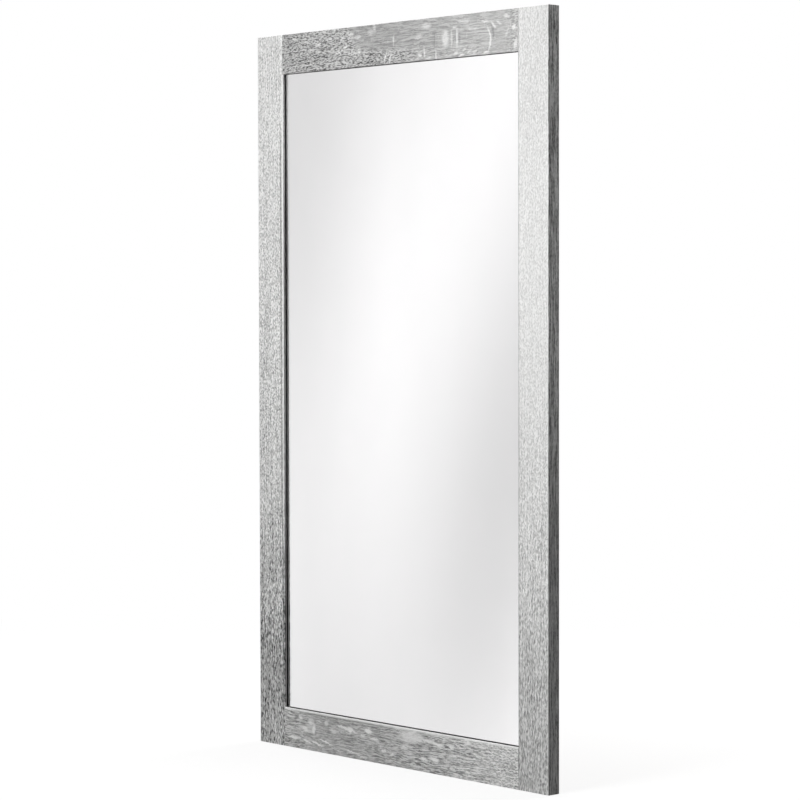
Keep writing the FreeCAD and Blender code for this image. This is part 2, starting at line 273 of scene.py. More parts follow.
def oak_board(
    name, upright_grain, offset, dash_sizes, ripple, paleness, contrast, short_pores, inner_arris, figure=None
):
    """Silvered oak for one board. The ground of its face has that paleness, from 0, black, to 1, white, and
    the grain swings about it by the share that contrast gives. Towards the back the board is plainly planed.
    The offset says where in the grain the board was cut, dash_sizes are those of the long and the short
    pores, across, through and along, and ripple is the pitch, unrest and waver of the growth lines."""
    made, tree, shader, place = start_material(name)
    split = put(tree, "SeparateXYZ", {0: place}).outputs
    run = place
    if not upright_grain:
        run = put(tree, "CombineXYZ", {0: split[2], 1: split[1], 2: split[0]}).outputs[0]
    run = reckon_places(tree, "ADD", run, offset)
    pitch, unrest, waver = ripple
    grain = use_effect(tree, oak_grain, {
        "Place": run, "Long Dash": dash_sizes[0], "Short Dash": dash_sizes[1],
        "Short Share": short_pores(tree, split), "Ripple Pitch": pitch, "Unrest": unrest, "Waver": waver})
    swing = reckon(tree, "MULTIPLY_ADD", grain["Dashes"], dash_swing, dash_offset)
    gather = rise(tree, grain["Drift"], 0.40, 0.62)
    wave = times(tree, reckon(tree, "SUBTRACT", grain["Ripples"], 0.5), blend_values(tree, gather, 0.3, 0.9))
    drift = rise(tree, grain["Drift"], 0.32, 0.68, 0.25, -0.25)
    growth = rise(tree, grain["Growth"], 0.35, 0.65, -0.15, 0.15)
    swing = times(tree, summed(tree, swing, wave, drift, growth), contrast(tree, split))
    off_face = reckon(tree, "SUBTRACT", split[1], face_y)
    behind = rise(tree, off_face, 0.010, 0.018)
    planed = rise(tree, grain["Growth"], 0.30, 0.70, -0.10, 0.10)
    planed_paleness = 0.53 if upright_grain else 0.47
    ground = blend_values(tree, behind, paleness(tree, split), planed_paleness)
    shade = times(tree, reckon(tree, "ADD", blend_values(tree, behind, swing, planed), 1.0), ground)
    if figure:
        shallow = rise(tree, off_face, 0.002, 0.006, 1.0, 0.0)
        pale, dark = (times(tree, share, shallow) for share in figure(tree, split, run))
        shade = blend_values(tree, dark, blend_values(tree, pale, shade, ray_shade), stroke_shade)
    shade = times(tree, shade, rise(tree, grain["Pores"], 0.0, 1.0, 1.0, pore_shade))
    across = reckon(tree, "ABSOLUTE", split[0])
    off_side = reckon(tree, "SUBTRACT", across, frame_half)
    edge_wear_and_highlight = use_effect(tree, eased_edge, {"Off One": off_side, "Off Two": off_face, "Reach": worn_reach})[0]
    shade = blend_values(tree, times(tree, edge_wear_and_highlight, worn_share), shade, worn_shade)
    # A painted highlight along the inner arris, where the board has one; the outer arrises above are worn
    # pale.
    if inner_arris:
        off_sight, arris_highlight, reach = inner_arris(tree, split)
        edge_wear_and_highlight = use_effect(tree, eased_edge, {"Off One": off_sight, "Off Two": off_face, "Reach": reach})[0]
        arris_highlight = times(tree, arris_highlight, rise(tree, off_face, 0.0016, 0.0022, 1.0, 0.02))
        shade = blend_values(tree, times(tree, edge_wear_and_highlight, arris_highlight), shade, 1.0)
    # The outer side faces take the painted shade of the frame's edge.
    side = rise(tree, across, frame_half - 0.0012, frame_half - 0.0002)
    shade = blend_values(tree, side, shade, painted_side_shade(tree, split, run))
    feed(tree, shader, Base_Color=blend_tones(tree, shade, soot, chalk), Specular_IOR_Level=0.3)
    feed(tree, shader, Roughness=rise(tree, grain["Dashes"], 0.0, 1.0, 0.76, 0.58))
    feed(tree, shader, Normal=bumped(tree, grain["Height"], brushed_depth))
    return made


def painted_side_shade(tree, split, run):
    """The outer edge of the frame, in painted shade: long fine streaks, darker towards the foot and along
    both arrises.
    """
    streaks = rise(tree, mottle(tree, run, (0.0030, 0.0020, 0.040), 1.0, 0.5)[0], 0.42, 0.58, -1.0, 1.0)
    dots = rise(tree, mottle(tree, run, (0.0030, 0.0018, 0.0050), 1.0, 0.5)[0], 0.42, 0.58, -1.0, 1.0)
    swing = reckon(tree, "MULTIPLY_ADD", dots, 0.5, streaks)
    ground = by_stages(tree, split[2], ((0.10, 0.285), (0.30, 0.30), (0.75, 0.555)))
    depth = by_stages(tree, split[2], ((0.25, 0.40), (0.75, 0.40), (1.10, 0.46)))
    painted_back_arris_shade = rise(tree, split[1], back_y - 0.0075, back_y - 0.0010, 1.0, 0.68)
    painted_face_arris_shade = rise(tree, split[1], face_y + 0.0006, face_y + 0.0034, 0.72, 1.0)
    return times(tree, reckon(tree, "MULTIPLY_ADD", swing, depth, 1.0), ground, painted_back_arris_shade, painted_face_arris_shade)


def darkened(tree, ground, *marks):
    """The ground, taken down to black while a mark on it goes from 0 to 1."""
    for mark in marks:
        ground = times(tree, ground, reckon(tree, "SUBTRACT", 1.0, mark))
    return ground


def left_paleness(tree, split):
    """The left stile darkens towards its foot, a painted shade. A dark streak runs up beside its inner arris,
    and the inner half of its lip is darkened nearly to black, painted shade in the rebate, fading at the
    head."""
    # Painted shade: the ground darkens towards the foot.
    stages = ((0.02, 0.48), (0.12, 0.42), (0.28, 0.53), (0.40, 0.66), (0.75, 0.68), (1.1, 0.72))
    ground = by_stages(tree, split[2], stages)
    gap = reckon(tree, "ADD", split[0], sight_half)
    moved = reckon(tree, "SUBTRACT", gap, rise(tree, split[2], 0.30, 0.42, 0.0028, 0.0))
    height = by_stages(tree, split[2], ((0.050, 0.0), (0.075, 0.45), (1.00, 0.45), (1.08, 0.0)))
    streak = times(tree, band(tree, moved, -0.0080, -0.0062, -0.0040, -0.0028), height)
    # Painted shade: the inner half of the lip is darkened nearly to black, except near the head.
    inside = rise(tree, gap, -0.0003, -0.0001)
    reach = rise(tree, split[2], 0.88, 1.02, 0.97, 0.10)
    lip = times(tree, inside, reach, rise(tree, split[1], face_y + 0.0016, face_y + 0.0022))
    return darkened(tree, ground, reckon(tree, "MAXIMUM", streak, lip))


def left_arris(tree, split):
    """The left stile's inner arris is painted pale, a painted highlight, least towards the foot."""
    arris_highlight = by_stages(tree, split[2], ((0.30, 0.0), (0.45, 0.60), (0.95, 1.0), (1.132, 1.0), (1.136, 0.0)))
    return reckon(tree, "ADD", split[0], sight_half), arris_highlight, 0.0042


def right_paleness(tree, split):
    """The right stile darkens towards its foot, and a thin line along its inner arris is dark: both painted
    shade.
    """
    # Painted shade: darker towards the foot.
    ground = by_stages(tree, split[2], ((0.02, 0.55), (0.15, 0.58), (0.32, 0.67), (0.70, 0.70), (1.10, 0.66)))
    # Painted shade: a thin dark line along the inner arris.
    gap = reckon(tree, "SUBTRACT", split[0], sight_half)
    strength = by_stages(tree, split[2], ((0.06, 0.25), (0.08, 0.45), (0.60, 0.30)))
    return darkened(tree, ground, times(tree, rise(tree, gap, 0.0016, 0.0030, 1.0, 0.0), strength))


def left_contrast(tree, split):
    """The open grain of the left stile stands out more towards its foot."""
    stages = ((0.03, 0.74), (0.11, 0.64), (0.21, 0.82), (0.34, 0.56), (0.50, 0.42), (1.1, 0.28))
    return by_stages(tree, split[2], stages)


def right_contrast(tree, split):
    """The open grain of the right stile stands out more towards its foot."""
    return by_stages(tree, split[2], ((0.05, 0.44), (0.15, 0.39), (0.33, 0.34), (0.65, 0.135)))


def stile_short_pores(tree, split):
    """Shorter pores towards the head of a stile."""
    return rise(tree, split[2], 0.10, 0.70, 0.25, 0.85)


stile_dashes = ((0.0019, 0.0024, 0.0072), (0.0018, 0.0022, 0.0036))
stile_ripple = (0.0060, 2.2, 0.005)
left_offset, right_offset = (1.7, 0.4, 3.1), (4.2, 1.3, 0.6)
paint("left_stile", oak_board(
    "oak_left", True, left_offset, stile_dashes, stile_ripple,
    left_paleness, left_contrast, stile_short_pores, left_arris))
paint("right_stile", oak_board(
    "oak_right", True, right_offset, stile_dashes, stile_ripple,
    right_paleness, right_contrast, stile_short_pores, None))

# Bottom and top rail: quarter sawn oak boards butted between the stiles, so that the rays show as
# pale flecks across the grain. The top one is the darker, with a smooth middle, and the bottom one
# is open grained all along.


def build_ray_fleck():
    """One pale ray: an oval about a centre, leaning and bent, that fades to its rim."""
    names = ("X", "Z", "Centre X", "Centre Z", "Half Width", "Half Height", "Lean", "Bend")
    tree, given, result = effect("ray_fleck", [(n, "Float", 0.0) for n in names], [("Pale", "Float")])
    up = reckon(tree, "SUBTRACT", given["Z"], given["Centre Z"])
    off = reckon(tree, "SUBTRACT", given["X"], given["Centre X"])
    off = reckon(tree, "SUBTRACT", off, times(tree, up, given["Lean"]))
    off = reckon(tree, "SUBTRACT", off, times(tree, up, up, given["Bend"]))
    wide_share = reckon(tree, "DIVIDE", off, given["Half Width"])
    high_share = reckon(tree, "DIVIDE", up, given["Half Height"])
    tree.links.new(rise(tree, diagonal(tree, wide_share, high_share), 0.30, 1.0, 1.0, 0.0), result["Pale"])
    return tree


ray_fleck = build_ray_fleck()
mm = 0.001


def ray_figure(flecks, strokes, scatter):
    """The single large rays of a board with its scattered small ones, and its single dark strokes."""

    def draw(tree, split, run):
        wander = stray(tree, run, (0.007, 0.007, 0.007), 2.0)
        wander = reckon_places(tree, "MULTIPLY", wander, (0.006, 0.006, 0.006))
        bits = put(tree, "SeparateXYZ", {0: wander}).outputs
        x, z = (reckon(tree, "ADD", split[a], bits[b]) for a, b in ((0, 0), (2, 1)))
        small = mottle(tree, run, (0.011, 0.011, 0.0032), 2.0, 0.5)[0]
        patches = rise(tree, mottle(tree, run, (0.035, 0.035, 0.050), 1.0)[0], 0.45, 0.62)
        totals = [times(tree, rise(tree, small, 0.58, 0.74), patches, scatter), 0.0]
        for which, marks in enumerate((flecks, strokes)):
            for centre_x, centre_z, half_width, half_height, strength, *slant in marks:
                lean, bend = slant or (0.0, 0.0)
                mark = use_effect(tree, ray_fleck, {
                    "X": x, "Z": z, "Centre X": centre_x * mm, "Centre Z": centre_z * mm,
                    "Half Width": half_width * mm, "Half Height": half_height * mm,
                    "Lean": lean, "Bend": bend})
                mask = times(tree, mark[0], strength)
                totals[which] = reckon(tree, "MAXIMUM", totals[which], mask)
        return totals

    return draw


# Each mark: its centre across and up, its half width and half height, all in millimetres, how strong
# it is, and where it isn't upright and straight its lean and its bend, the bend per metre.
top_flecks = [
    (121, 1164, 11, 20, 0.46), (135, 1164, 3, 18, 0.36), (147.5, 1164, 3.4, 19, 0.52),
    (142, 1181, 7, 2, 0.43), (223.5, 1156, 3.4, 29, 0.52, 0, -18), (211, 1185, 12, 2.8, 0.50, -2.5, 0),
    (229.6, 1179, 5, 8, 0.50, -0.9, 0), (242, 1181, 5, 6, 0.36, -1.2, 0), (275, 1172, 6, 6, 0.58, 0.2, 0),
    (279, 1146, 5, 12, 0.50, 0.3, 0), (260, 1190, 9, 4, 0.36, -1, 0), (260, 1165, 4, 10, 0.25, 0.5, 0),
    (76, 1188, 15, 7, 0.36), (58, 1172, 11, 6, 0.29, 1.2, 0), (71.5, 1147, 2.8, 13, 0.48, -0.1, 0),
    (99, 1141, 3, 11, 0.48), (62, 1143, 7, 3, 0.58), (80, 1137, 10, 2, 0.50),
    (158, 1137, 10, 2.6, 0.58, 1.8, 0), (164, 1145, 6, 3, 0.40, 1, 0), (176, 1142, 5, 5, 0.43, 1.2, 0),
    (188, 1140, 5, 4, 0.43, 1.2, 0), (145, 1140, 8, 3, 0.43, 1, 0), (213, 1137, 8, 3.4, 0.58, 2, 0),
    (165, 1190, 20, 4, 0.25), (183, 1176, 18, 3, 0.22), (-56, 1188, 13, 8, 0.26), (-85, 1160, 6, 7, 0.32),
    (-89, 1182, 15, 4, 0.43), (-48, 1193, 5, 9, 0.34, -0.2, 0), (-2, 1170, 2.6, 11, 0.34),
    (-22, 1146, 2.6, 15, 0.60, 0.3, 9), (-11, 1141, 3, 11, 0.55, 0.2, 9), (-190, 1178, 11, 2.4, 0.61),
    (-172, 1186, 7, 2.4, 0.54), (-140, 1160, 11, 2.6, 0.58), (-122, 1168, 8, 2.6, 0.54),
    (-250, 1190, 10, 3, 0.54), (-106, 1188, 9, 2.6, 0.50), (-220, 1182, 8, 2.4, 0.43),
]
top_strokes = [
    (-175, 1180, 3, 6, 0.80), (-218, 1190, 6, 2, 0.60), (95, 1164, 2.6, 16, 0.30),
    # The stroke at 229 mm across is painted shade along the right of the upper half of the bent ray at 223.5
    # mm.
    (153, 1164, 2.8, 19, 0.25), (229, 1170, 3.6, 18, 0.40, -0.2, -12), (20, 1168, 60, 1.6, 0.30),
    (50, 1160, 24, 1.6, 0.30), (30, 1182, 40, 1.4, 0.22),
]
low_flecks = [
    (-230.5, 35, 11, 6.5, 0.84, -0.5, 0), (-207, 37, 7, 12, 0.97, 0.1, 0), (-215, 47, 11, 5.2, 0.89),
    (-242, 52, 8, 5, 0.70), (-174.3, 49.5, 8, 6, 0.57), (-157.7, 39.7, 13, 5, 0.57, -0.6, 0),
    (-122.5, 47.5, 17, 5.6, 1.10, -5.3, 0), (-114, 46.4, 14, 5.6, 1.10), (-69, 50.1, 14, 5.2, 1.10),
    (-81.5, 40.4, 9, 2.8, 0.81), (-54.1, 38.7, 17, 3.4, 0.81), (-260, 17.8, 18, 4.2, 1.10),
    (-225.3, 14.9, 8, 5, 1.05, -3, 0), (-199.2, 13.8, 8, 5.6, 1.10, -3.6, 0),
    (-174.5, 18.5, 8.4, 5.2, 1.10, -4.5, 0), (-114.4, 11.6, 7, 4, 0.84, -5, 0),
    (-150, 9, 6, 3.4, 0.68, -5, 0), (-87, 7, 7, 3, 0.68, -5, 0), (36, 53, 44, 14, 0.81),
    (76, 50.5, 18, 5, 0.81, -2, 0), (98.3, 48.1, 16, 4.2, 0.89, -2, 0), (131.1, 46.5, 8, 2.8, 0.88),
    (67.4, 21, 13, 4, 1.10), (93.5, 22.7, 15, 4.4, 1.10), (170.5, 58.4, 13, 3.6, 0.94),
    (200, 56, 8, 3, 0.74), (20, 34, 13, 3, 0.68), (-30, 23, 9, 3, 0.81), (-10, 18, 7, 2.8, 0.81),
    (115, 56, 6, 8, 0.54, 0.3, 0),
]
low_strokes = [
    (175, 26.5, 30, 2.2, 0.50), (95.9, 10.1, 24, 2.2, 0.50), (128, 38, 8, 6, 0.35),
    (-40, 44, 18, 1.8, 0.35), (-155, 56, 26, 2, 0.35), (-250, 8, 12, 2.4, 0.45), (45, 40, 24, 4, 0.30),
    (70, 60, 20, 1.6, 0.30),
]


def top_short_pores(tree, split):
    """Short crowded pores at the left third of the board, along its lower edge and at its far right end."""
    left = rise(tree, reckon(tree, "MULTIPLY_ADD", split[2], 0.5, split[0]), 0.476, 0.506, 1.0, 0.0)
    low = rise(tree, reckon(tree, "MULTIPLY_ADD", split[0], 0.05, split[2]), 1.150, 1.164, 1.0, 0.0)
    low = times(tree, low, rise(tree, split[0], 0.00, 0.10, 1.0, 0.35))
    return reckon(tree, "MAXIMUM", reckon(tree, "MAXIMUM", left, low), rise(tree, split[0], 0.24, 0.28))


def top_contrast(tree, split):
    """Deep pores where they are short, and faint ones on the smooth middle and at the far right end."""
    depth = blend_values(tree, top_short_pores(tree, split), 0.17, 0.48)
    return times(tree, depth, rise(tree, split[0], 0.20, 0.26, 1.0, 0.55))


def top_paleness(tree, split):
    """The smooth middle is a little paler to the right."""
    return by_stages(tree, split[0], ((-0.12, 0.39), (-0.04, 0.34), (0.02, 0.37), (0.20, 0.44)))


def low_short_pores(tree, split):
    """Short crowded pores towards the right end of the board."""
    return rise(tree, split[0], 0.14, 0.26, 0.0, 0.7)


def low_contrast(tree, split):
    """The lower rail is open grained all along."""
    stages = ((-0.26, 0.36), (-0.20, 0.25), (-0.06, 0.31), (0.06, 0.42), (0.16, 0.44), (0.26, 0.42))
    return by_stages(tree, split[0], stages)


def low_paleness(tree, split):
    """The lower rail is paler at its right end. A thin dark line runs below its arris on the left, and the
    inner half of its lip is darkened, painted shade in the rebate, most towards the right."""
    ground = by_stages(tree, split[0], ((-0.25, 0.56), (-0.15, 0.49), (0.05, 0.49), (0.24, 0.69)))
    length = by_stages(tree, split[0], ((-0.26, 0.0), (-0.22, 0.60), (-0.08, 0.50), (0.0, 0.0)))
    line = times(tree, band(tree, split[2], 0.0602, 0.0612, 0.0626, 0.0636), length)
    # Painted shade: the inner half of the lip is darkened, most towards the right.
    inside = rise(tree, split[2], sight_low - 0.0003, sight_low - 0.0001)
    reach = rise(tree, split[0], -0.22, -0.12, 0.35, 0.96)
    lip = times(tree, inside, reach, rise(tree, split[1], face_y + 0.0008, face_y + 0.0016))
    return darkened(tree, ground, line, lip)


def low_arris(tree, split):
    """The lower rail's inner arris is painted pale all along, a painted highlight where its lip faces the
    light from above.
    """
    return reckon(tree, "SUBTRACT", split[2], sight_low), 1.0, 0.0058


top_offset, low_offset = (2.9, 0.8, 5.3), (6.1, 2.2, 1.4)
top_dashes = ((0.0014, 0.0014, 0.026), (0.0016, 0.0016, 0.0058))
low_dashes = ((0.0014, 0.0014, 0.0170), (0.0015, 0.0015, 0.0055))
top_ripple, low_ripple = (0.0065, 1.6, 0.003), (0.0055, 1.8, 0.005)
paint("top_rail", oak_board(
    "oak_top", False, top_offset, top_dashes, top_ripple,
    top_paleness, top_contrast, top_short_pores, None, ray_figure(top_flecks, top_strokes, 0.20)))
paint("bottom_rail", oak_board(
    "oak_bottom", False, low_offset, low_dashes, low_ripple,
    low_paleness, low_contrast, low_short_pores, low_arris, ray_figure(low_flecks, low_strokes, 0.45)))

# Dowels: fluted beech pegs, 8 mm thick, glued half into a rail and half into a stile. Two hold each
# corner, and none of them shows once the frame is closed.


def peg_beech():
    """Plain beech: pinkish, with short darker flecks along the peg."""
    made, tree, shader, place = start_material("peg_beech")
    pink_brown, dark_fleck = (0.56, 0.38, 0.23, 1), (0.36, 0.21, 0.11, 1)
    flecks = rise(tree, mottle(tree, place, (0.004, 0.0006, 0.0006))[0], 0.55, 0.70)
    feed(tree, shader, Base_Color=blend_tones(tree, flecks, pink_brown, dark_fleck))
    feed(tree, shader, Roughness=rise(tree, flecks, 0.0, 1.0, 0.55, 0.70))
    feed(tree, shader, Normal=bumped(tree, flecks, -0.0001))
    return made


beech = peg_beech()
corners = ("foot_left", "foot_right", "head_left", "head_right")
for corner in corners:
    paint(corner + "_dowels", beech)

# Glazing tape: black closed cell foam, a millimetre thick, stuck under the frame's lip before the
# glass goes in. Its four strips meet in mitres and stand 0.3 mm proud of the lip.


def black_foam():
    """Closed cell foam: black, with fine cells that break its surface. On the left strip, the part next to
    and
    under the lip is painted pale: painted light that stands for the light seen there through the glass."""
    made, tree, shader, place = start_material("black_foam")
    cells = mottle(tree, place, (0.0007, 0.0007, 0.0007), 2.0)[0]
    split = put(tree, "SeparateXYZ", {0: place}).outputs
    # Painted light: a pale share on the left strip next to and under the lip.
    dust_and_painted_light = rise(tree, split[0], 0.00010 - sight_half, 0.00025 - sight_half, 0.70, 0.0)
    black = blend_tones(tree, cells, (0.010, 0.010, 0.010, 1), (0.030, 0.030, 0.030, 1))
    feed(tree, shader, Base_Color=blend_tones(tree, dust_and_painted_light, black, (0.90, 0.90, 0.90, 1)))
    feed(tree, shader, Roughness=rise(tree, cells, 0.3, 0.7, 0.7, 0.9))
    feed(tree, shader, Normal=bumped(tree, cells, 0.0001))
    return made


foam = black_foam()
for side in ("left", "right", "top", "bottom"):
    paint(side + "_glazing_tape", foam)

# The pane: clear float glass with ground arrises. Its thickness shows as a dark line along the
# left and the lower edge, where the silvering mirrors the underside of the lip.


def float_glass():
    """Clear glass, faintly green, polished."""
    made, tree, shader, place = start_material("float_glass")
    feed(tree, shader, Roughness=0.0, IOR=1.5, Transmission_Weight=1.0)
    faint_green, clear = (0.988, 0.994, 0.992, 1), (0.999, 1.0, 0.999, 1)
    wipe = mottle(tree, place, (0.03, 0.03, 0.12), 3.0)[0]
    feed(tree, shader, Base_Color=blend_tones(tree, wipe, faint_green, clear))
    return made


paint("mirror_glass", float_glass())

# The silvering: a film deposited on the back of the pane, under grey paint and safety foil, and
# stopped just short of the pane's ground edge.


def silvering():
    """Bright silver with the faintest cloudiness."""
    made, tree, shader, place = start_material("silvering")
    clouded, bright = (0.945, 0.932, 0.940, 1), (0.985, 0.972, 0.980, 1)
    cloud = mottle(tree, place, (0.09, 0.09, 0.14), 3.0)[0]
    feed(tree, shader, Base_Color=blend_tones(tree, cloud, clouded, bright), Metallic=1.0, Roughness=0.0)
    return made


def thin_sheet(low, high):
    """Rows go round the sheet's rectangle, columns from the middle of its front over the rim to the middle of
    its back."""
    outline = np.array([(low.x, low.z), (high.x, low.z), (high.x, high.z), (low.x, high.z)])
    middle = outline.mean(axis=0)
    steps = np.linspace(0, 1, 9)[:-1, None]
    rim = np.concatenate([a + (b - a) * steps for a, b in zip(outline, np.roll(outline, -1, axis=0))])
    reach = np.array([0.0, 0.5, 1.0, 1.0, 0.5, 0.0])
    depth = np.array([low.y] * 3 + [high.y] * 3)
    flat = middle + (rim - middle)[:, None] * reach[None, :, None]
    return np.stack([flat[..., 0], np.broadcast_to(depth, flat.shape[:2]), flat[..., 1]], axis=2)


def skin(name, grids, body, material, nodes, wrap_rows, wrap_columns):
    """One piece from grids of points of one size, rows by columns by xyz, whose rows or columns may close on
    themselves. Doubled points are merged, which closes seams and poles, and the faces point outwards."""
    rows, columns = grids[0].shape[:2]
    open_rows = np.arange(rows if wrap_rows else rows - 1)
    open_columns = np.arange(columns if wrap_columns else columns - 1)
    row, column = (a.ravel() for a in np.meshgrid(open_rows, open_columns, indexing="ij"))
    next_row, next_column = (row + 1) % rows, (column + 1) % columns
    round_face = ((row, column), (row, next_column), (next_row, next_column), (next_row, column))
    face = np.stack([a * columns + b for a, b in round_face], axis=1)
    faces = np.concatenate([face + i * rows * columns for i in range(len(grids))])
    points = np.concatenate([grid.reshape(-1, 3) for grid in grids])
    mesh = bpy.data.meshes.new(name)
    mesh.from_pydata(points.tolist(), [], faces.tolist())
    work = bmesh.new()
    work.from_mesh(mesh)
    bmesh.ops.remove_doubles(work, verts=work.verts, dist=1e-7)
    bmesh.ops.dissolve_degenerate(work, dist=1e-8, edges=work.edges)
    bmesh.ops.recalc_face_normals(work, faces=work.faces)
    work.to_mesh(mesh)
    work.free()
    mesh.shade_smooth()
    mesh.materials.append(material)
    piece = bpy.data.objects.new(name, mesh)
    bpy.context.scene.collection.objects.link(piece)
    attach(piece, body)
    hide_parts(*nodes)
    return piece


# The sheet lies a hair's breadth off the glass, so that the two faces don't share one plane.
film_gap = 0.00004
film_low, film_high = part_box("silver_film")
film_low.y += film_gap
film_grid = thin_sheet(film_low, film_high)
silver = skin("silver_sheet", [film_grid], "mirror", silvering(), ["silver_film"], True, False)
silver.data.shade_flat()

# Setting blocks: two blocks cut from black rubber strip and laid in the lower rebate, a quarter of
# the way in from each side, where they carry the pane clear of the wood.


def black_rubber():
    """Moulded rubber: nearly black, matt, dusty on its high spots."""
    made, tree, shader, place = start_material("black_rubber")
    pits = mottle(tree, place, (0.0008, 0.0008, 0.0008), 3.0)[0]
    dust_and_painted_light = rise(tree, mottle(tree, place, (0.006, 0.006, 0.006), 3.0)[0], 0.50, 0.75, 0.0, 0.35)
    clean_black, dust_grey = (0.022, 0.022, 0.023, 1), (0.10, 0.098, 0.094, 1)
    feed(tree, shader, Base_Color=blend_tones(tree, dust_and_painted_light, clean_black, dust_grey))
    feed(tree, shader, Roughness=rise(tree, pits, 0.3, 0.7, 0.55, 0.80))
    feed(tree, shader, Normal=bumped(tree, pits, 0.0001))
    return made


rubber = black_rubber()
paint("setting_blocks", rubber)

# Filler card: brown double wall corrugated board, cut to fill the rebate behind the pane, so that
# the back board presses evenly on the whole glass.


def kraft_card():
    """Brown kraft liner over upright flutes that show through as faint bands."""
    made, tree, shader, place = start_material("kraft_card")
    split = put(tree, "SeparateXYZ", {0: place}).outputs
    flute_pitch = 0.0065
    dark_kraft, pale_kraft, flute_shadow = (0.42, 0.28, 0.16, 1), (0.56, 0.40, 0.25, 1), (0.30, 0.19, 0.10, 1)
    wave = reckon(tree, "SINE", times(tree, split[0], 2 * math.pi / flute_pitch))
    fibre = mottle(tree, place, (0.004, 0.004, 0.0009), 3.0)[0]
    colour = blend_tones(tree, fibre, dark_kraft, pale_kraft)
    colour = blend_tones(tree, rise(tree, wave, -1.0, 1.0, 0.0, 0.25), colour, flute_shadow)
    feed(tree, shader, Base_Color=colour, Roughness=rise(tree, fibre, 0.3, 0.7, 0.75, 0.9))
    feed(tree, shader, Normal=bumped(tree, wave, 0.0002))
    return made


paint("filler_card", kraft_card())

# Back board: standard brown hardboard, sawn to the size of the rebate and laid in with its smooth
# face outwards, flush with the frame's back.


def hardboard():
    """Pressed fibre: warm brown, fine light and dark fibres, soft cloudy glaze from the platen."""
    made, tree, shader, place = start_material("hardboard")
    fibre = mottle(tree, place, (0.0035, 0.0035, 0.0012), 4.0, 0.7)[0]
    cross = mottle(tree, place, (0.0012, 0.0012, 0.0040), 4.0, 0.7)[0]
    cloud = mottle(tree, place, (0.07, 0.07, 0.07), 3.0)[0]
    both = times(tree, reckon(tree, "ADD", fibre, cross), 0.5)
    dark_fibre, pale_fibre = (0.115, 0.066, 0.037, 1), (0.235, 0.150, 0.092, 1)
    colour = blend_tones(tree, rise(tree, both, 0.38, 0.62), dark_fibre, pale_fibre)
    colour = blend_tones(tree, rise(tree, cloud, 0.35, 0.65, 0.0, 0.4), colour, (0.150, 0.092, 0.055, 1))
    feed(tree, shader, Base_Color=colour, Roughness=rise(tree, cloud, 0.3, 0.7, 0.42, 0.58))
    feed(tree, shader, Normal=bumped(tree, both, 0.0001))
    return made


paint("back_board", hardboard())

# Turn buttons: stamped from thin spring steel with a step halfway along, and zinc plated. Each
# turns on one screw in the frame and presses the back board with its tip.
button_thick = 0.0012


def zinc_plate(name, tone, smoothness):
    """Bright zinc: pale grey metal with a soft spangle, fine rubbing and dull spots."""
    made, tree, shader, place = start_material(name)
    rub = mottle(tree, place, (0.0004, 0.0030, 0.0040), 3.0, 0.6)[0]
    spangle = mottle(tree, place, (0.0035, 0.0035, 0.0035), 2.0)[0]
    bright, dull = (tuple(share * c for c in tone) + (1,) for share in (1.0, 0.72))
    colour = blend_tones(tree, rise(tree, spangle, 0.35, 0.65), bright, dull)
    feed(tree, shader, Base_Color=colour, Metallic=1.0)
    feed(tree, shader, Roughness=rise(tree, rub, 0.3, 0.7, smoothness, smoothness + 0.16))
    feed(tree, shader, Normal=bumped(tree, rub, 0.00003))
    return made


def ease(value):
    """The smooth step 3t^2 - 2t^3 of a share that is held between 0 and 1."""
    t = np.clip(value, 0, 1)
    return t * t * (3 - 2 * t)


def stamped_button(pivot, aim):
    """Rows go round the two round ends and their common tangents, columns from the hole over the top, round
    the rim and back underneath. The plate's height above the wood is a smooth step along its length, from
    the big end at the pivot to the small end, which points the way of aim."""
    big, small, span, hole, rim = 0.006, 0.004, 0.016, 0.0017, 0.0003
    lift, step_start, step_end = 0.0010, 0.0085, 0.0125
    big_points, side_points, small_points, flat_points = 40, 16, 22, 14
    lean = math.acos((big - small) / span)
    back = np.linspace(lean, 2 * math.pi - lean, big_points)
    front = np.linspace(-lean, lean, small_points)
    side = np.linspace(0, 1, side_points + 2)[1:-1]
    turn = np.concatenate([back, np.full(side_points, -lean), front, np.full(side_points, lean)])
    share = np.concatenate([np.zeros(big_points), side, np.ones(small_points), side[::-1]])
    radius = big + (small - big) * share
    way = np.stack([np.cos(turn), np.sin(turn)], axis=1)
    centre = np.stack([span * share, np.zeros_like(share)], axis=1)
    rim_point = centre + way * (radius - rim)[:, None]
    hole_way = rim_point / np.linalg.norm(rim_point, axis=1)[:, None]
    reach = np.linspace(0, 1, flat_points)
    flat = hole_way[:, None] * hole + (rim_point - hole_way * hole)[:, None] * reach[None, :, None]
    bow = np.linspace(0, math.pi, 9)[1:-1]
    curve = rim_point[:, None] + way[:, None] * rim * np.sin(bow)[None, :, None]
    around = np.concatenate([flat, curve, flat[:, ::-1]], axis=1)
    along, over = around[..., 0], around[..., 1]
    half = button_thick / 2
    round_rim = (half - rim) * np.sign(np.cos(bow)) + rim * np.cos(bow)
    depth = np.concatenate([np.full(flat_points, half), round_rim, np.full(flat_points, -half)])
    height = half + depth[None] + lift * ease((along - step_start) / (step_end - step_start))
    x = pivot.x + along * aim.x - over * aim.z
    z = pivot.z + along * aim.z + over * aim.x
    return np.stack([x, pivot.y + height, z], axis=2)


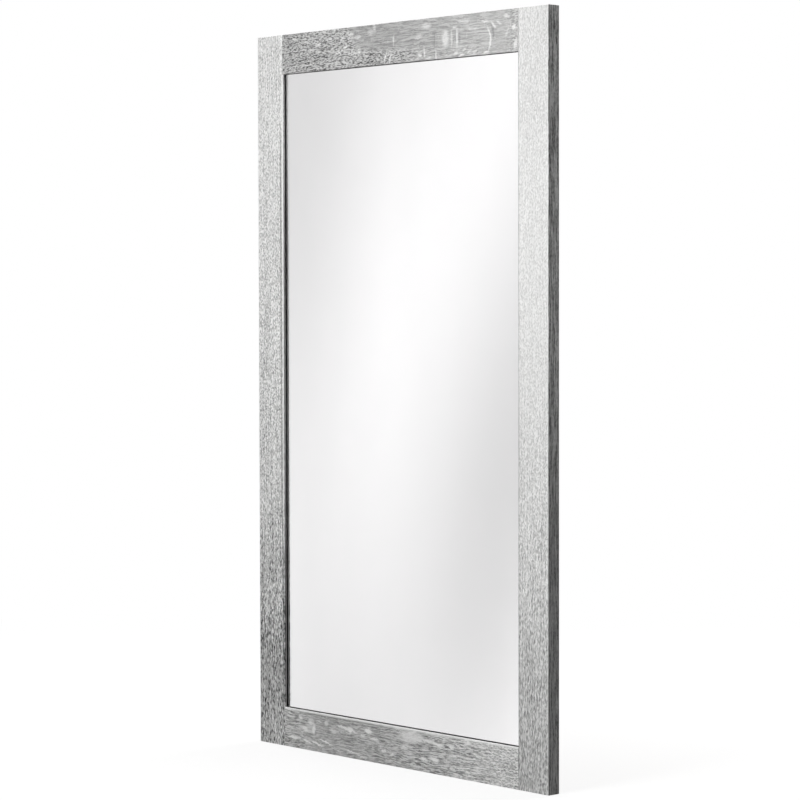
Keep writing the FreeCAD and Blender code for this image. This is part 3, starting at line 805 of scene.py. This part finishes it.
stamped_steel = zinc_plate("stamped_steel", (0.40, 0.40, 0.40), 0.26)
pivots = {joint["child"]: Vector(joint["pos_m"]) for joint in frame["joints"]}
button_seats = []
for body, pivot in pivots.items():
    if body.endswith("_turn_button"):
        low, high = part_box(body)
        out = (low + high) / 2 - pivot
        aim = Vector((np.sign(out.x), 0, 0)) if abs(out.x) > abs(out.z) else Vector((0, 0, np.sign(out.z)))
        button = stamped_button(pivot, aim)
        skin(body + "_plate", [button], body, stamped_steel, [body], True, True)
        button_seats.append(pivot + Vector((0, button_thick, 0)))

# Screws: cheese heads with one slot, turned from steel and zinc plated. They are driven home
# through the buttons, the straps and the bumpers into pilot holes in the oak.


def slotted_screw(seat, head_radius, head_height, shank_radius, length):
    """Rows go round the axis, columns from the crown over the rim and down the shank to its point. The crown
    falls with the fourth power of the radius. The slot runs along X and sinks it to a level floor."""
    crown_fall, slot_share, soft_share, floor_share, point_share = 0.16, 0.13, 0.05, 0.5, 2.4
    rim_radii, rim_heights = np.array([1, 1, 0.98]), np.array([0.76, 0.08, 0])
    angle = np.linspace(0, 2 * math.pi, 96, endpoint=False)
    crown = np.linspace(0, 1, 22)
    head_heights = np.concatenate([1 - crown_fall * crown**4, rim_heights])
    shank_heights = [0, shank_radius * point_share - length, -length]
    r = np.concatenate([head_radius * crown, head_radius * rim_radii, [shank_radius, shank_radius, 0]])
    y = np.concatenate([head_height * head_heights, shank_heights])
    x_side, z_side = (r[None] * f(angle)[:, None] for f in (np.cos, np.sin))
    within = ease((head_radius * slot_share - np.abs(z_side)) / (head_radius * soft_share) + 0.5)
    sunk = within * np.maximum(y[None] - head_height * floor_share, 0)
    return np.stack([seat.x + x_side, seat.y + y[None] - sunk, seat.z + z_side], axis=2)


bright_zinc = zinc_plate("bright_zinc", (0.42, 0.43, 0.45), 0.22)
button_screw = {"head_radius": 0.0032, "head_height": 0.0019, "shank_radius": 0.0016, "length": 0.014}
button_grids = [slotted_screw(seat, **button_screw) for seat in button_seats]
skin("button_screws", button_grids, "mirror", bright_zinc, ["turn_button_screws"], True, False)

# Hangers: two strips of zinc plated steel, each curled round the bar of a wire ring and held to its
# stile by two screws, one above the other.
strap_thick = 0.0015
strap_drops = (0.033, 0.049)


def curled_strap(bar):
    """Rows run from the round foot up the straight and round the curl, columns go round the strip's section,
    a rectangle with round corners whose half width follows a circle at the foot."""
    half_width, corner, outer, curl_turn = 0.008, 0.0004, 0.0036, math.radians(290)
    foot_points, straight_points, curl_points, section_points = 16, 24, 44, 32
    foot_centre, curl_radius = -strap_drops[1], outer - strap_thick / 2
    foot = foot_centre - half_width * np.cos(np.linspace(0, math.pi / 2, foot_points))
    straight = np.linspace(foot[-1], 0, straight_points)[1:]
    bend = np.linspace(0, curl_turn, curl_points)[1:]
    lean = np.concatenate([np.zeros(len(foot) + len(straight)), bend])
    y = outer - curl_radius * np.cos(lean)
    z = np.concatenate([foot, straight, curl_radius * np.sin(bend)])
    wide = np.full(len(z), half_width)
    wide[:len(foot)] = np.sqrt(np.maximum(half_width**2 - (foot - foot_centre) ** 2, 1e-12))
    turn = np.linspace(0, 2 * math.pi, section_points, endpoint=False)
    round_x, round_y = np.cos(turn), np.sin(turn)
    bite = np.minimum(corner, wide)
    side = np.sign(round_x)[None] * (wide - bite)[:, None] + round_x[None] * bite[:, None]
    depth = np.sign(round_y)[None] * (strap_thick / 2 - corner) + round_y[None] * corner
    y_all = bar.y - outer + y[:, None] - depth * np.cos(lean)[:, None]
    z_all = bar.z + z[:, None] + depth * np.sin(lean)[:, None]
    strip = np.stack([bar.x + side, y_all, z_all], axis=2)
    first, last = (np.repeat(strip[i].mean(axis=0)[None, None], section_points, axis=1) for i in (0, -1))
    return np.concatenate([first, strip, last], axis=0)


strap_seats = []
for hand in ("left", "right"):
    bar = pivots[hand + "_hanger_ring"]
    node = hand + "_hanger_strap"
    skin(node + "_strip", [curled_strap(bar)], "mirror", bright_zinc, [node], False, True)
    strap_seats += [Vector((bar.x, back_y + strap_thick, bar.z - drop)) for drop in strap_drops]
strap_screw = {"head_radius": 0.0036, "head_height": 0.0022, "shank_radius": 0.0020, "length": 0.016}
strap_grids = [slotted_screw(seat, **strap_screw) for seat in strap_seats]
skin("strap_screws", strap_grids, "mirror", bright_zinc, ["hanger_screws"], True, False)

# Wire rings: 4 mm steel wire bent to a D, whose straight side is the bar, and nickel plated. Each
# swings freely in the curl of its strap.


def nickel_wire():
    """Warm bright metal with fine dull rubs."""
    made, tree, shader, place = start_material("nickel_wire")
    rubbed_tone, bright_tone = (0.40, 0.385, 0.355, 1), (0.56, 0.545, 0.52, 1)
    rub = mottle(tree, place, (0.0012, 0.0012, 0.0012), 4.0, 0.65)[0]
    feed(tree, shader, Base_Color=blend_tones(tree, rub, rubbed_tone, bright_tone), Metallic=1.0)
    feed(tree, shader, Roughness=rise(tree, rub, 0.3, 0.7, 0.12, 0.30))
    feed(tree, shader, Normal=bumped(tree, rub, 0.00003))
    return made


nickel = nickel_wire()
for hand in ("left", "right"):
    paint(hand + "_hanger_ring", nickel)

# Bumpers: moulded rubber feet at the back corners, which keep the mirror off the wall. Each is held
# by a screw at the bottom of its well.
well_floor = 0.0035


def moulded_foot(seat):
    """Rows go round the axis, columns follow the foot's section from its hole out over the base, up the
    tapered side, round the lip, and down the well."""
    high, base_radius, lip_radius, well_radius, hole_radius = 0.008, 0.008, 0.007, 0.0042, 0.0019
    lip, rim, bevel_in, bevel_up = 0.0009, 0.0006, 0.0001, 0.0003
    angle = np.linspace(0, 2 * math.pi, 56, endpoint=False)
    quarter = np.linspace(0, math.pi / 2, 6)
    lip_r, lip_y = lip_radius - lip + lip * np.cos(quarter), high - lip + lip * np.sin(quarter)
    rim_r, rim_y = well_radius + rim - rim * np.sin(quarter), high - rim + rim * np.cos(quarter)
    base_r, base_y = [hole_radius, base_radius - bevel_in, base_radius], [0, 0, bevel_up]
    r = np.concatenate([base_r, lip_r, rim_r, [well_radius, hole_radius]])
    y = np.concatenate([base_y, lip_y, rim_y, [well_floor, well_floor]])
    x_side, z_side = (r[None] * f(angle)[:, None] for f in (np.cos, np.sin))
    return np.stack([seat.x + x_side, seat.y + y[None] + 0 * x_side, seat.z + z_side], axis=2)


bumper_seats = []
for corner in corners:
    node = corner + "_bumper"
    low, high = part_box(node)
    seat = Vector(((low.x + high.x) / 2, back_y, (low.z + high.z) / 2))
    skin(node + "_foot", [moulded_foot(seat)], "mirror", rubber, [node], True, True)
    bumper_seats.append(seat + Vector((0, well_floor, 0)))
bumper_screw = {"head_radius": 0.0035, "head_height": 0.0020, "shank_radius": 0.00175, "length": 0.018}
bumper_grids = [slotted_screw(seat, **bumper_screw) for seat in bumper_seats]
skin("sunk_screws", bumper_grids, "mirror", bright_zinc, ["bumper_screws"], True, False)

# The studio: a pale floor that keeps the mirror's shadow, a white surround, and four soft lamps, one
# in front of the right stile, one overhead, one behind the mirror and one to its left.
floor_radius, floor_sides = 20.0, 64
floor_grey, lit_from, lit_to = 0.24, 0.8, 2.2


def pale_floor():
    """A disc of floor. Its own white is even, and round the mirror a part of it is lit by the lamps."""
    made, tree, shader, place = start_material("pale_floor")
    away = put(tree, "VectorMath", {0: place}, operation="LENGTH").outputs["Value"]
    lit = rise(tree, away, lit_from, lit_to, floor_grey, 0.0)
    grey = put(tree, "CombineColor", {0: lit, 1: lit, 2: lit}).outputs[0]
    diffuse = put(tree, "BsdfDiffuse", {"Color": grey})
    path = put(tree, "LightPath").outputs
    glow = times(tree, reckon(tree, "SUBTRACT", 1.0, lit), path["Is Camera Ray"])
    white = put(tree, "Emission", {"Color": (1, 1, 1, 1), "Strength": glow})
    both = put(tree, "AddShader", {0: diffuse.outputs[0], 1: white.outputs[0]})
    clear = put(tree, "BsdfTransparent")
    under = put(tree, "NewGeometry").outputs["Backfacing"]
    sides = put(tree, "MixShader", {0: under, 1: both.outputs[0], 2: clear.outputs[0]})
    tree.links.new(sides.outputs[0], tree.nodes["Material Output"].inputs["Surface"])
    tree.nodes.remove(shader)
    return made


floor_mesh = bpy.data.meshes.new("floor")
floor_turn = np.linspace(0, 2 * math.pi, floor_sides, endpoint=False)
floor_rim = [floor_radius * np.cos(floor_turn), floor_radius * np.sin(floor_turn), 0 * floor_turn]
floor_mesh.from_pydata(np.stack(floor_rim, axis=1).tolist(), [], [list(range(floor_sides))])
floor_mesh.materials.append(pale_floor())
floor = bpy.data.objects.new("floor", floor_mesh)
floor.visible_glossy = False
floor.visible_transmission = False
bpy.context.scene.collection.objects.link(floor)


def soft_lamp(name, place, target, sizes, power):
    """A soft box of that power in watts, seen neither by the camera nor in the mirror."""
    data = bpy.data.lights.new(name, "AREA")
    data.shape = "RECTANGLE"
    data.size, data.size_y = sizes
    data.energy = power
    lamp = bpy.data.objects.new(name, data)
    lamp.location = place
    lamp.rotation_euler = (Vector(target) - Vector(place)).to_track_quat("-Z", "Y").to_euler()
    lamp.visible_camera = lamp.visible_glossy = lamp.visible_transmission = False
    bpy.context.scene.collection.objects.link(lamp)


soft_lamp("front_lamp", (0.27, -1.30, 1.05), (0.27, 0.0, 1.05), (0.6, 0.6), 17.5)
soft_lamp("top_lamp", (0.0, 0.0, 3.0), (0.0, 0.0, 0.0), (1.5, 1.5), 34.0)
soft_lamp("back_lamp", (0.0, 2.2, 1.1), (0.0, 0.0, 0.6), (1.2, 1.2), 30.0)
soft_lamp("left_lamp", (-2.2, 0.2, 1.1), (-0.35, 0.0, 0.6), (1.0, 1.0), 16.0)

# What the pane mirrors: a pale surround with soft slanting bands, brightest in the pane's middle. It
# lights the rest only a little, and the camera sees plain white in its place.
world = bpy.data.worlds.new("surround")
world.use_nodes = True
bpy.context.scene.world = world
sky = world.node_tree
sky.nodes.clear()
band_way, side_way = (-0.602, 0.676, 0.425), (0.665, -0.747, 0.0)
band_turns, band_start = 7.49, -0.01
fill_light = 0.27
toward = put(sky, "TexCoord").outputs["Generated"]
reading, sideways = (
    put(sky, "VectorMath", {0: toward, 1: way}, operation="DOT_PRODUCT").outputs["Value"]
    for way in (band_way, side_way))
phase = reckon(sky, "MULTIPLY_ADD", reading, 2 * math.pi * band_turns, 2 * math.pi * band_start)
middle_glow = by_stages(sky, sideways, ((-0.036, 0.845), (0.0, 0.96), (0.038, 0.909)))
glow_swing = by_stages(sky, sideways, ((-0.036, 0.075), (0.0, 0.10), (0.038, 0.156)))
glow_level = reckon(sky, "MULTIPLY_ADD", reckon(sky, "COSINE", phase), glow_swing, middle_glow)
ways = put(sky, "LightPath").outputs
mirrored = reckon(sky, "MAXIMUM", ways["Is Glossy Ray"], ways["Is Transmission Ray"])
level_seen = blend_values(sky, mirrored, fill_light, glow_level)
level_seen = blend_values(sky, ways["Is Camera Ray"], level_seen, 1.0)
backdrop = put(sky, "Background", {"Color": (1, 1, 1, 1), "Strength": level_seen})
sky_out = sky.nodes.new("ShaderNodeOutputWorld")
sky.links.new(backdrop.outputs[0], sky_out.inputs["Surface"])
bpy.context.scene.view_settings.view_transform = "Standard"
